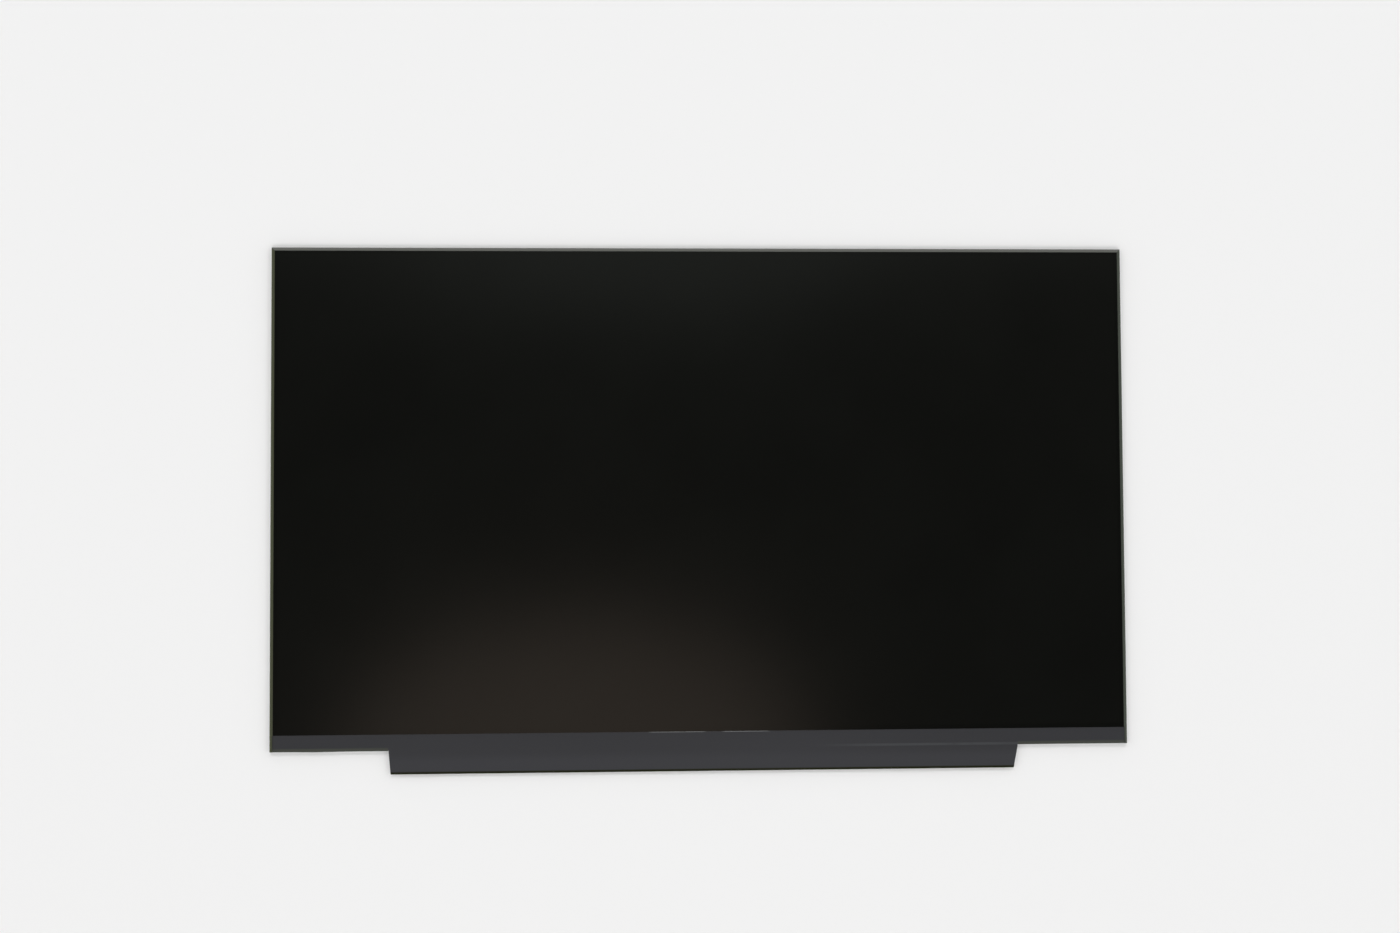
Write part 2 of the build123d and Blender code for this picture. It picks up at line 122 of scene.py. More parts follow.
def brightness(name, description, strength):
    """The strength of a lamp that a user may change."""
    return FloatProperty(name=name, description=description, default=strength, min=0.0)


def share(name, description, part):
    """A share between 0 and 1 that a user may change."""
    return FloatProperty(name=name, description=description, default=part, min=0.0, max=1.0, subtype="FACTOR")


class PanelSizes(bpy.types.PropertyGroup):
    """Sizes of the modelled pieces, beside those that the frame gives."""

    # Screen film
    film_inset: size("Film inset", "How far the screen film is cut back at the left, right and top", 0.22)
    film_edge: size("Film edge", "Rounding of the cut edge of the screen film", 0.05)
    active_border: size("Active border", "Width of the black border round the picture area", 1.9)
    border_fade: size("Border fade", "Softness of the inner line of the black border", 0.25)

    # All tapes
    tape_thickness: size("Tape thickness", "Thickness of the edge strips and the cover tape", 0.08)

    # Edge strips
    lip_gap: size("Lip gap", "Gap between an edge strip and the screen film", 0.05)
    front_fold: size("Front fold", "Outer radius of an edge strip where it folds over the front pane", 0.50)
    back_fold: size("Back fold", "Outer radius of an edge strip where it folds under the tray", 0.28)
    mitre_gap: size("Mitre gap", "Gap between two edge strips at a corner", 0.10)
    # The next two sizes give the reach of the paler tone painted as a highlight along an edge strip's fold
    highlight_reach: size("Wear reach", "How far the wear of an edge strip reaches in over the front", 1.1)
    highlight_drop: size("Wear drop", "How far the wear of an edge strip reaches down its side", 0.5)

    # Cover tape
    tab_left: size("Tab left", "Distance of the tab's left root from the middle of the panel", 127.5)
    tab_right: size("Tab right", "Distance of the tab's right root from the middle of the panel", 129.6)
    left_taper: size("Left taper", "How far the left end of the tab leans in", 0.8)
    right_taper: size("Right taper", "How far the right end of the tab leans in", 1.7)
    tab_rise: size("Tab rise", "Height of the tape's face above the board", 0.18)
    tab_fold: size("Tab fold", "Outer radius of the fold along the foot of the tab", 0.53)
    end_fold: size("End fold", "Outer radius of the cover tape's fold beside the tab", 0.33)
    root_relief: size("Root relief", "Width of the cut at the tab's left root", 0.4)
    tape_wave: size("Tape wave", "How far the cover tape rises and falls where it is not held", 0.03)
    bulge: size("Bulge", "How far the loose left end of the cover tape stands off", 0.13)
    bulge_place: size("Bulge place", "Distance of the loose place from the middle of the panel", 156.5)
    bulge_reach: size("Bulge reach", "Half length of the loose place", 14.0)
    crease_top: size("Crease top", "Height of the crease's upper line above the body's lower edge", 0.5)
    crease_run: size("Crease run", "Width of the slope between the crease's two lines", 1.2)
    crease_line: size("Crease line", "Half width of the pale line along the crease", 0.30)
    crease_fade: size("Crease fade", "Softness of the pale line along the crease", 0.40)
    crease_start: size("Crease start", "Place where that pale line begins to show", 40.0)
    crease_full: size("Crease full", "Place where that pale line shows fully", 75.0)
    # Where the glint painted on the cover tape's upper edge lies
    left_glint_place: size("Left lift place", "Middle of the left lifted stretch of the upper edge", -10.5)
    left_glint_reach: size("Left lift reach", "Half length of the left lifted stretch", 10.0)
    right_glint_place: size("Right lift place", "Middle of the right lifted stretch of the upper edge", 17.5)
    right_glint_reach: size("Right lift reach", "Half length of the right lifted stretch", 8.0)
    glint_fade: size("Lift fade", "Softness of the ends of a lifted stretch", 2.5)

    # Capacitors
    capacitor_length: size("Capacitor length", "Length of a board capacitor", 1.0)
    capacitor_width: size("Capacitor width", "Width and height of a board capacitor", 0.5)
    capacitor_pitch: size("Capacitor pitch", "Distance between capacitors in a column", 1.4)
    capacitor_gap: size("Capacitor gap", "Distance of a capacitor column from its chip", 0.6)
    capacitor_cap: size("Capacitor cap", "Length of a capacitor's metal end", 0.24)
    capacitors: IntProperty(name="Capacitors", description="Capacitors in a column", default=4, min=1)


class PanelColours(bpy.types.PropertyGroup):
    """Colours of the finishes, the floor, the sky and the cards."""

    screen: colour("Screen", "Matte polarising film over the picture area", 0.0042, 0.0044, 0.0038)
    # Each strip has a film colour and a paler colour, painted along its fold as a highlight where the fold
    # catches the light
    left_strip: colour("Left strip", "Film of the left edge strip", 0.0445, 0.0495, 0.0250)
    left_wear: colour("Left wear", "Paler line along the fold of the left strip", 0.0515, 0.0580, 0.0300)
    right_strip: colour("Right strip", "Film of the right edge strip", 0.0410, 0.0480, 0.0370)
    right_wear: colour("Right wear", "Paler line along the fold of the right strip", 0.0560, 0.0660, 0.0510)
    # Painted light: the top strip and its fold colour are painted about twice as light as the side strips,
    # for the light falling on the top edge
    top_strip: colour("Top strip", "Film of the top edge strip", 0.102, 0.105, 0.095)
    top_wear: colour("Top wear", "Paler line along the fold of the top strip", 0.107, 0.111, 0.101)
    cover_tape: colour("Cover tape", "Matte film of the cover tape", 0.0215, 0.0220, 0.0258)
    # Painted highlight along the crease
    crease: colour("Crease", "Stretched film along the crease", 0.036, 0.038, 0.042)
    # Paler olive tone on the cover tape where it folds down beside the tab
    folded_end: colour("Folded end", "Stretched film that folds down beside the tab", 0.0370, 0.0405, 0.0325)
    # Painted glint on two stretches of the cover tape's upper edge
    edge_glint: colour("Cut edge", "Upper edge of the cover tape where it has lifted", 0.16, 0.165, 0.17)
    # Painted shade along the foot of the tab
    foot_shade: colour("Foot shade", "Film turned under at the foot of the tab", 0.0125, 0.0140, 0.0050)
    back_film: colour("Back film", "Black film of the board's back and shading ring", 0.014, 0.014, 0.015)
    tray: colour("Tray", "Rolled metal of the rear tray", 0.62, 0.63, 0.64)
    frame_plastic: colour("Frame", "Moulded plastic frame", 0.020, 0.020, 0.021)
    cell_glass: colour("Cell glass", "Panes and rear polariser of the cell", 0.050, 0.062, 0.060)
    white_sheet: colour("White sheet", "Reflector, diffusers and light strip", 0.82, 0.82, 0.80)
    guide: colour("Light guide", "Clear light guide and prism sheets", 0.70, 0.74, 0.75)
    guide_dots: colour("Guide dots", "Dots printed on the light guide", 0.90, 0.91, 0.91)
    led_body: colour("Led body", "Moulded led packages", 0.86, 0.82, 0.66)
    led_window: colour("Led window", "Phosphor in the led windows", 0.86, 0.62, 0.10)
    flex: colour("Flex", "Amber film of the flexes", 0.40, 0.21, 0.06)
    copper: colour("Copper", "Tracks under the film of the flexes", 0.46, 0.26, 0.12)
    board: colour("Board", "Solder mask of the board", 0.012, 0.055, 0.026)
    silicon: colour("Silicon", "Bare driver chips", 0.075, 0.078, 0.090)
    package: colour("Package", "Moulded chip packages", 0.018, 0.018, 0.019)
    ferrite: colour("Ferrite", "Cores of the coils", 0.075, 0.073, 0.072)
    ceramic: colour("Ceramic", "Bodies of the capacitors", 0.34, 0.24, 0.15)
    tin: colour("Tin", "Metal ends of the capacitors", 0.68, 0.67, 0.64)
    socket: colour("Socket", "Moulded bodies of the sockets", 0.62, 0.58, 0.48)
    shell: colour("Shell", "Plated shell of the signal socket", 0.60, 0.59, 0.56)
    gold: colour("Gold", "Plated contacts", 0.83, 0.60, 0.22)
    floor: colour("Floor", "Plain pale floor", 0.850, 0.850, 0.854)
    horizon: colour("Horizon", "Pale light near the horizon", 0.875, 0.875, 0.878)
    zenith: colour("Zenith", "Dim room overhead", 0.020, 0.021, 0.019)
    low_glow: colour("Low glow", "Faint warm card mirrored low in the screen", 1.0, 0.79, 0.64)
    high_glow: colour("High glow", "Faint card mirrored high in the screen", 0.92, 1.0, 0.92)
    edge_glow: colour("Edge glow", "Wide faint card mirrored along the upper edge", 0.94, 1.0, 0.92)


class StageSettings(bpy.types.PropertyGroup):
    """Camera, floor, lamps, cards and sky."""

    camera_place: place("Camera place", "Camera's place over the panel", -36.2, -13.9, 740.4)
    camera_turn: FloatVectorProperty(
        name="Camera turn", description="Camera's turn from straight down", subtype="EULER", unit="ROTATION",
        default=(radians(2.418), radians(-2.743), radians(-0.314)))
    lens: FloatProperty(name="Lens", description="Focal length for a 36 mm wide frame", default=46.29,
                        unit="CAMERA")
    floor_reach: FloatProperty(name="Floor reach", description="Half width of the floor", default=40.0,
                               unit="LENGTH")
    key_strength: brightness("Key strength", "Lamp beyond the top of the screen", 0.79)
    fill_strength: brightness("Fill strength", "Lamp before the foot of the panel", 0.80)
    side_strength: brightness("Side strength", "Lamps left and right of the panel", 0.36)
    key_elevation: angle("Key elevation", "Height of the key and fill lamps above the floor", 54)
    side_elevation: angle("Side elevation", "Height of the side lamps above the floor", 50)
    lamp_spread: angle("Lamp spread", "Angular width of a lamp", 18)
    low_glow_power: power("Low glow power", "Power of the card mirrored low", 0.60)
    low_glow_place: place("Low glow place", "Middle of the card mirrored low", -84, -283, 1500)
    low_glow_span: span("Low glow span", "Width and depth of the card mirrored low", 580, 350)
    high_glow_power: power("High glow power", "Power of the card mirrored high", 0.16)
    high_glow_place: place("High glow place", "Middle of the card mirrored high", 5, 376, 1500)
    high_glow_span: span("High glow span", "Width and depth of the card mirrored high", 620, 200)
    edge_glow_power: power("Edge glow power", "Power of the card along the upper edge", 0.95)
    edge_glow_place: place("Edge glow place", "Middle of the card along the upper edge", 73, 560, 1500)
    edge_glow_span: span("Edge glow span", "Width and depth of the card along the upper edge", 2000, 420)
    horizon_height: share("Horizon height", "Height on the dome up to which it is pale", 0.45)
    zenith_height: share("Zenith height", "Height on the dome above which it is dim", 0.88)


class DisplayPanel(bpy.types.PropertyGroup):
    """All the settings of the panel."""

    sizes: PointerProperty(type=PanelSizes)
    colours: PointerProperty(type=PanelColours)
    stage: PointerProperty(type=StageSettings)


class Finish:
    """A procedural material: its Principled shader, and short calls for the nodes that feed it."""

    def __init__(self, name, **constants):
        self.material = bpy.data.materials.new(name)
        self.material.use_nodes = True
        self.tree = self.material.node_tree
        self.shader = self.tree.nodes["Principled BSDF"]
        self.position = self.node("ShaderNodeTexCoord").outputs["Object"]
        for socket, value in constants.items():
            self.set(socket.replace("_", " "), value)

    def set(self, socket, value):
        """Give one of the shader's sockets a constant, or the output of a node."""
        target = next(entry for entry in self.shader.inputs if entry.name.lower() == socket.lower())
        self.feed(target, value)

    def feed(self, socket, value):
        """Give a node's socket a constant, or the output of another node."""
        if isinstance(value, bpy.types.NodeSocket):
            self.tree.links.new(value, socket)
        else:
            socket.default_value = value

    def node(self, kind, inputs=(), **settings):
        """Add a node with its settings, and feed its inputs."""
        made = self.tree.nodes.new(kind)
        for name, value in settings.items():
            setattr(made, name, value)
        for socket, value in dict(inputs).items():
            self.feed(made.inputs[socket], value)
        return made

    def math(self, operation, first, second=0.0):
        """Work out one value from one or two others."""
        return self.node("ShaderNodeMath", {0: first, 1: second}, operation=operation).outputs[0]

    def times(self, first, second):
        """The product of two values, which for two masks is where they overlap."""
        return self.math("MULTIPLY", first, second)

    def either(self, first, second):
        """The larger of two masks."""
        return self.math("MAXIMUM", first, second)

    def fit(self, value, low, high, to_low=0.0, to_high=1.0, smooth=True):
        """Carry a value from one range to another, easing in and out or in a straight line."""
        kind = "SMOOTHSTEP" if smooth else "LINEAR"
        values = {"Value": value, "From Min": low, "From Max": high, "To Min": to_low, "To Max": to_high}
        return self.node("ShaderNodeMapRange", values, interpolation_type=kind).outputs["Result"]

    def rise(self, value, start, end):
        """A mask that is zero up to start and one from end on."""
        return self.fit(value, start, end)

    def fade(self, value, start, end):
        """A mask that is one up to start and zero from end on."""
        return self.fit(value, start, end, 1.0, 0.0)

    def band(self, value, middle, half, soft):
        """A mask that is one inside a band of values and fades to zero at both sides."""
        away = self.math("ABSOLUTE", self.math("SUBTRACT", value, middle))
        return self.fade(away, half, half + soft)

    def along(self, axis):
        """The coordinate along one axis, in metres."""
        return self.node("ShaderNodeSeparateXYZ", {0: self.position}).outputs[axis]

    def grain(self, per_mm, detail=2.0, stretch=(1, 1, 1), roughness=0.5):
        """Noise with a number of grains to the millimetre, which a low stretch draws out along an axis."""
        vector = self.node("ShaderNodeMapping", {"Vector": self.position, "Scale": stretch}).outputs["Vector"]
        values = {"Vector": vector, "Scale": per_mm / MM, "Detail": detail, "Roughness": roughness}
        return self.node("ShaderNodeTexNoise", values).outputs["Fac"]

    def uneven(self, grain, low=0.0, high=1.0):
        """Carry the usual range of a noise to another range."""
        return self.fit(grain, *SOFT_NOISE, low, high)

    def mix(self, factor, first, second):
        """Blend two colours."""
        made = self.node("ShaderNodeMix", data_type="RGBA")
        for index, value in ((0, factor), (6, first), (7, second)):
            self.feed(made.inputs[index], value)
        return made.outputs[2]

    def clouded(self, cloud, rgb, darker, lighter):
        """A colour that wavers between a darker and a lighter tone."""
        return self.mix(cloud, shade(rgb, darker), shade(rgb, lighter))

    def bump(self, height, depth, strength):
        """Raise the surface by a height field, whose full range is depth millimetres."""
        values = {"Height": height, "Distance": depth * MM, "Strength": strength}
        self.set("normal", self.node("ShaderNodeBump", values).outputs["Normal"])


def opaque(rgb):
    """A colour with full alpha, as sockets take it."""
    return (*rgb, 1.0)


def shade(rgb, factor):
    """A lighter or darker colour with full alpha."""
    return opaque(min(1.0, value * factor) for value in rgb)


def around(value, spread):
    """The two ends of a range around a value."""
    return value - spread, value + spread


def screen_finish(colours, sizes):
    """Anti-glare film: a fine etched grain, a scarcely darker border and a low even sheen."""
    film = Finish("antiglare_film", ior=1.32)
    half = (SCREEN_HIGH - SCREEN_LOW) / 2
    middle = (SCREEN_HIGH + SCREEN_LOW) / 2
    border, fade = sizes.active_border, sizes.border_fade
    picture = film.times(film.band(film.along("X"), middle.x, half.x - border, fade),
                         film.band(film.along("Y"), middle.y, half.y - border, fade))
    cloud = film.uneven(film.grain(per_mm=0.02, detail=3.0))
    tone = film.clouded(cloud, colours.screen, darker=0.92, lighter=1.08)
    border_tone = shade(colours.screen, 0.85)
    film.set("base color", film.mix(picture, border_tone, tone))
    film.set("roughness", film.uneven(film.grain(per_mm=1.5), low=0.165, high=0.175))
    film.bump(film.grain(per_mm=9.0, detail=1.0), depth=0.0006, strength=0.5)
    return film.material


def edge_strip_finish(name, film_rgb, highlight_rgb, sizes):
    """Satin film with a paler tone painted along the fold over the front edge, as a painted highlight."""
    film = Finish(name, ior=1.4)
    full_reach, full_drop = 0.10 * MM, 0.05 * MM
    front = film.rise(film.along("Z"), STRIP_HIGH.z - sizes.highlight_drop, STRIP_HIGH.z - full_drop)
    from_middle = film.math("ABSOLUTE", film.along("X"))
    side = film.rise(from_middle, BODY_HALF - sizes.highlight_reach, BODY_HALF - full_reach)
    top = film.rise(film.along("Y"), BODY_HIGH_EDGE - sizes.highlight_reach, BODY_HIGH_EDGE - full_reach)
    # Painted highlight: the paler tone along the fold over the front edge
    highlighted = film.times(front, film.either(side, top))
    patchy = film.fit(film.grain(per_mm=0.08, detail=4.0), *WIDE_NOISE, to_low=0.65, to_high=1.0)
    film.set("base color", film.mix(film.times(highlighted, patchy), opaque(film_rgb), opaque(highlight_rgb)))
    film.set("roughness", film.uneven(film.grain(per_mm=1.5, detail=3.0), low=0.40, high=0.48))
    film.bump(film.grain(per_mm=7.0), depth=0.002, strength=0.5)
    return film.material


def tab_painted_light(film, y):
    """Mask of the painted light on the tab, where the cover tape is painted lighter than the band over the
    ledge.
    """
    start, full, most = 0.5 * MM, 5.0 * MM, 0.9
    return film.times(film.fade(y, BODY_LOW_EDGE - full, BODY_LOW_EDGE - start), most)


def crease_highlight(film, x, y, sizes):
    """Mask of the painted highlight along the crease: a broken pale line that shows at the right."""
    line = film.band(y, BODY_LOW_EDGE + sizes.crease_top, sizes.crease_line, sizes.crease_fade)
    shown = film.rise(x, sizes.crease_start, sizes.crease_full)
    broken = film.rise(film.grain(per_mm=0.12, stretch=(1.0, 0.2, 1.0)), start=0.1, end=0.5)
    return film.times(film.times(line, shown), broken)


def tape_edge_glint(film, x, y, sizes):
    """Mask of the painted glint on two short stretches of the cover tape's upper edge."""
    width, full_width = 0.30 * MM, 0.12 * MM
    upper_edge = film.rise(y, COVER_HIGH.y - width, COVER_HIGH.y - full_width)
    left = film.band(x, sizes.left_glint_place, sizes.left_glint_reach, sizes.glint_fade)
    right = film.band(x, sizes.right_glint_place, sizes.right_glint_reach, sizes.glint_fade)
    return film.times(upper_edge, film.either(left, right))


def tape_foot_shade(film, y, sizes):
    """Mask of the painted shade along the foot of the tab, where the cover tape turns under."""
    full, end = 0.10 * MM, 0.75 * MM
    fold_line = COVER_LOW.y + sizes.tab_fold
    return film.fade(y, fold_line + full, fold_line + end)


def tape_ends(film, x, y, sizes):
    """Mask of the cover tape that folds down beside the tab."""
    soft, full, end = 0.30 * MM, 0.95 * MM, 1.55 * MM
    left = film.fade(x, -sizes.tab_left - soft, -sizes.tab_left)
    right = film.rise(x, sizes.tab_right, sizes.tab_right + soft)
    low = film.fade(y, BODY_LOW_EDGE + full, BODY_LOW_EDGE + end)
    return film.times(film.either(left, right), low)


def cover_tape_finish(colours, sizes):
    """Matte grey film with a fine embossed grain and painted light and shade, paler at the folds beside the
    tab.
    """
    film = Finish("cover_tape_film", ior=1.38)
    x, y = film.along("X"), film.along("Y")
    cloud = film.uneven(film.grain(per_mm=0.012, detail=5.0, stretch=(0.5, 1.6, 1.0)))
    tone = film.clouded(cloud, colours.cover_tape, darker=0.94, lighter=1.06)
    # Painted light: the tab is painted lighter than the band, more so further from the crease
    tab_lit_tone = shade(colours.cover_tape, 1.28)
    foot = tape_foot_shade(film, y, sizes)
    tone = film.mix(tab_painted_light(film, y), tone, tab_lit_tone)
    # Painted highlight along the crease
    tone = film.mix(crease_highlight(film, x, y, sizes), tone, opaque(colours.crease))
    # Painted glint on two stretches of the upper edge
    tone = film.mix(tape_edge_glint(film, x, y, sizes), tone, opaque(colours.edge_glint))
    # Painted shade along the foot of the tab
    tone = film.mix(foot, tone, opaque(colours.foot_shade))
    # Paler olive tone where the tape folds down beside the tab
    tone = film.mix(tape_ends(film, x, y, sizes), tone, opaque(colours.folded_end))
    film.set("base color", tone)
    # The painted shade at the foot also takes most of the sheen away there
    film.set("specular ior level", film.fit(foot, 0.0, 1.0, to_low=0.5, to_high=0.06, smooth=False))
    film.set("roughness", film.uneven(film.grain(per_mm=0.9, detail=3.0), low=0.47, high=0.55))
    film.bump(film.grain(per_mm=5.0, detail=3.0), depth=0.004, strength=0.5)
    return film.material


def back_film_finish(colours):
    """Satin black film with a shallow quilting from what lies under it."""
    film = Finish("back_film", ior=1.5)
    cloud = film.grain(per_mm=0.03, detail=4.0)
    film.set("base color", film.clouded(cloud, colours.back_film, darker=0.8, lighter=1.25))
    film.set("roughness", film.uneven(film.grain(per_mm=0.6, detail=3.0), low=0.34, high=0.46))
    ripple_share = 0.2
    ripple = film.times(film.grain(per_mm=4.0), ripple_share)
    film.bump(film.math("ADD", ripple, film.grain(per_mm=0.12)), depth=0.03, strength=0.6)
    return film.material


def rolled_metal_finish(colours):
    """Rolled sheet: long faint streaks along the rolling direction, scarcely clouded."""
    metal = Finish("rolled_sheet", metallic=1.0)
    streak = metal.grain(per_mm=3.0, detail=4.0, stretch=(0.02, 1.0, 1.0), roughness=0.7)
    cloud = metal.grain(per_mm=0.006, stretch=(0.4, 1.0, 1.0))
    tone = metal.clouded(streak, colours.tray, darker=0.86, lighter=1.10)
    dull = metal.fit(cloud, low=0.35, high=0.65, to_high=0.5)
    metal.set("base color", metal.mix(dull, tone, shade(colours.tray, 0.92)))
    metal.set("roughness", metal.fit(streak, *WIDE_NOISE, to_low=0.26, to_high=0.40))
    metal.bump(streak, depth=0.003, strength=0.4)
    return metal.material


def moulded_finish(name, rgb, roughness, per_mm=6.0, depth=0.004):
    """Moulded plastic with a fine spark-eroded grain and slight clouding."""
    plastic = Finish(name, ior=1.5)
    cloud = plastic.grain(per_mm=0.15, detail=4.0)
    plastic.set("base color", plastic.clouded(cloud, rgb, darker=0.86, lighter=1.14))
    grain = plastic.grain(per_mm, detail=3.0)
    plastic.set("roughness", plastic.uneven(grain, *around(roughness, spread=0.06)))
    plastic.bump(grain, depth, strength=0.5)
    return plastic.material


def sheet_finish(name, rgb, roughness, ribs_per_mm=0.0, across="Y"):
    """Backlight sheet: clouded film, with fine ribs where it is a prism sheet."""
    sheet = Finish(name, ior=1.55)
    cloud = sheet.grain(per_mm=0.04, detail=3.0)
    sheet.set("base color", sheet.clouded(cloud, rgb, darker=0.95, lighter=1.04))
    sheet.set("roughness", sheet.uneven(sheet.grain(per_mm=2.0), *around(roughness, spread=0.04)))
    if ribs_per_mm:
        half_rib = 0.5
        rib = sheet.math("PINGPONG", sheet.times(sheet.along(across), ribs_per_mm / MM), half_rib)
        sheet.bump(rib, depth=0.06, strength=0.7)
    return sheet.material


def guide_finish(colours):
    """Clear guide whose printed dots grow larger away from the leds."""
    guide = Finish("light_guide_acrylic", ior=1.49, roughness=0.12)
    dots_per_mm, unevenness = 0.8, 0.35
    near_radius, far_radius = 0.16, 0.42
    cells = guide.node("ShaderNodeTexVoronoi", {"Vector": guide.position, "Scale": dots_per_mm / MM,
                                                "Randomness": unevenness})
    radius = guide.fit(guide.along("Y"), SCREEN_LOW.y, SCREEN_HIGH.y, near_radius, far_radius, smooth=False)
    dot = guide.math("LESS_THAN", cells.outputs["Distance"], radius)
    guide.set("base color", guide.mix(dot, opaque(colours.guide), opaque(colours.guide_dots)))
    return guide.material


def glass_finish(colours):
    """Dark cell glass with a faint tint that shifts over its width."""
    glass = Finish("cell_glass", ior=1.52)
    cloud = glass.grain(per_mm=0.01, detail=3.0)
    glass.set("base color", glass.clouded(cloud, colours.cell_glass, darker=0.85, lighter=1.15))
    glass.set("roughness", glass.uneven(glass.grain(per_mm=0.4), low=0.05, high=0.09))
    return glass.material


def tracked_finish(name, film_rgb, track_colour, tracks_per_mm, covered, roughness, groups_per_mm=0.0):
    """Film or solder mask with tracks that run along Y and cover a share of it, all over or in groups."""
    film = Finish(name, ior=1.5)
    wander_reach, half_pitch, group_level = 1.5 * MM, 0.5, 0.5
    wander = film.times(film.grain(per_mm=0.15, detail=1.0, stretch=(0.2, 1.0, 1.0)), wander_reach)
    pitches = film.times(film.math("ADD", film.along("X"), wander), tracks_per_mm / MM)
    track = film.math("LESS_THAN", film.math("PINGPONG", pitches, half_pitch), covered / 2)
    if groups_per_mm:
        group = film.grain(groups_per_mm, detail=3.0, stretch=(1.0, 0.35, 1.0))
        track = film.times(track, film.math("GREATER_THAN", group, group_level))
    cloud = film.grain(per_mm=0.2, detail=4.0)
    mask = film.clouded(cloud, film_rgb, darker=0.85, lighter=1.15)
    film.set("base color", film.mix(track, mask, track_colour))
    film.set("roughness", film.uneven(film.grain(per_mm=2.0), *around(roughness, spread=0.05)))
    film.bump(track, depth=0.01, strength=0.5)
    return film.material


def plated_finish(name, rgb, roughness):
    """Plated metal with fine drawing lines and slight tarnish."""
    metal = Finish(name, metallic=1.0)
    line = metal.grain(per_mm=8.0, detail=3.0, stretch=(1.0, 0.05, 1.0))
    tone = metal.clouded(line, rgb, darker=0.9, lighter=1.06)
    most_tarnish, smoother, rougher = 0.3, 0.06, 0.08
    patch = metal.rise(metal.grain(per_mm=0.5, detail=4.0), start=0.45, end=0.75)
    metal.set("base color", metal.mix(metal.times(patch, most_tarnish), tone, shade(rgb, 0.75)))
    metal.set("roughness", metal.fit(line, *WIDE_NOISE, roughness - smoother, roughness + rougher))
    metal.bump(line, depth=0.002, strength=0.4)
    return metal.material


def led_finish(colours):
    """Cream package with a phosphor-yellow window towards the light guide."""
    led = Finish("led_package", ior=1.5, roughness=0.42)
    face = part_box("leds")[1].y
    window_start, window_end = 0.10 * MM, 0.18 * MM
    window = led.times(led.math("LESS_THAN", led.along("Y"), face - window_start),
                       led.math("GREATER_THAN", led.along("Y"), face - window_end))
    cloud = led.grain(per_mm=1.0, detail=3.0)
    body = led.clouded(cloud, colours.led_body, darker=0.94, lighter=1.03)
    led.set("base color", led.mix(window, body, opaque(colours.led_window)))
    return led.material


def dress(material, *nodes):
    """Give CAD nodes their finish, in place of the plain one that they came with."""
    for name in nodes:
        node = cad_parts[name]
        node.data.materials.clear()
        node.data.materials.append(material)


def add_object(name, data):
    """Put a mesh, a lamp or a camera into the scene."""
    made = bpy.data.objects.new(name, data)
    bpy.context.scene.collection.objects.link(made)
    return made


def add_mesh(name, bm, materials):
    """Turn a finished bmesh into an object with its materials."""
    mesh = bpy.data.meshes.new(name)
    bm.to_mesh(mesh)
    bm.free()
    for material in materials:
        mesh.materials.append(material)
    return add_object(name, mesh)


def place_piece(name, bm, materials, slot, *nodes):
    """Make a piece that rides on the panel and stands for CAD nodes."""
    piece = add_mesh(name, bm, materials)
    level_faces = piece.modifiers.new("level_faces", "WEIGHTED_NORMAL")
    level_faces.keep_sharp = True
    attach(piece, "root")
    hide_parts(*nodes)


def smoothstep(value):
    """Ease from 0 to 1."""
    value = min(1.0, max(0.0, value))
    return value * value * (3 - 2 * value)


def smooth_by_angle(bm, limit):
    """Shade smooth across gentle edges and keep the sharper ones crisp."""
    for face in bm.faces:
        face.smooth = True
    for edge in bm.edges:
        edge.smooth = len(edge.link_faces) == 2 and edge.calc_face_angle(0.0) < limit


def extrude_by(bm, edges, offset):
    """Extrude edges and move the copies, which are returned."""
    made = bmesh.ops.extrude_edge_only(bm, edges=edges)["geom"]
    moved = [item for item in made if isinstance(item, bmesh.types.BMVert)]
    bmesh.ops.translate(bm, verts=moved, vec=offset)
    return [item for item in made if isinstance(item, bmesh.types.BMEdge) and set(item.verts) <= set(moved)]


def round_edges(bm, edges, radius, segments):
    """Round folds or rims to a radius."""
    bmesh.ops.bevel(bm, geom=edges, offset=radius, offset_type="OFFSET", segments=segments, profile=0.5,
                    affect="EDGES", material=-1, clamp_overlap=True)


def thicken(bm, thickness):
    """Give an open sheet its thickness, behind its outer face."""
    merge_distance = thickness / 100
    bmesh.ops.recalc_face_normals(bm, faces=bm.faces[:])
    bmesh.ops.solidify(bm, geom=bm.faces[:], thickness=thickness)
    bmesh.ops.remove_doubles(bm, verts=bm.verts[:], dist=merge_distance)
    bmesh.ops.recalc_face_normals(bm, faces=bm.faces[:])


class MakeScreenFilm(bpy.types.Operator):
    """Cut the matte polarising film with its softened rim"""

    bl_idname = "display_panel.screen_film"
    bl_label = "Screen film"

    def execute(self, context):
        settings = context.scene.display_panel
        inset = settings.sizes.film_inset
        low = SCREEN_LOW + Vector((inset, 0, 0))
        high = SCREEN_HIGH - Vector((inset, inset, 0))
        middle = (high + low) / 2
        bm = bmesh.new()
        bmesh.ops.create_cube(bm, size=1.0)
        bmesh.ops.scale(bm, verts=bm.verts[:], vec=high - low)
        bmesh.ops.translate(bm, verts=bm.verts[:], vec=middle)
        rim = [edge for edge in bm.edges if all(vert.co.z > middle.z for vert in edge.verts)]
        round_edges(bm, rim, settings.sizes.film_edge, segments=3)
        smooth_by_angle(bm, limit=radians(50))
        finish = screen_finish(settings.colours, settings.sizes)
        place_piece("screen_film", bm, [finish], "screen_film", "front_polariser")
        return {"FINISHED"}


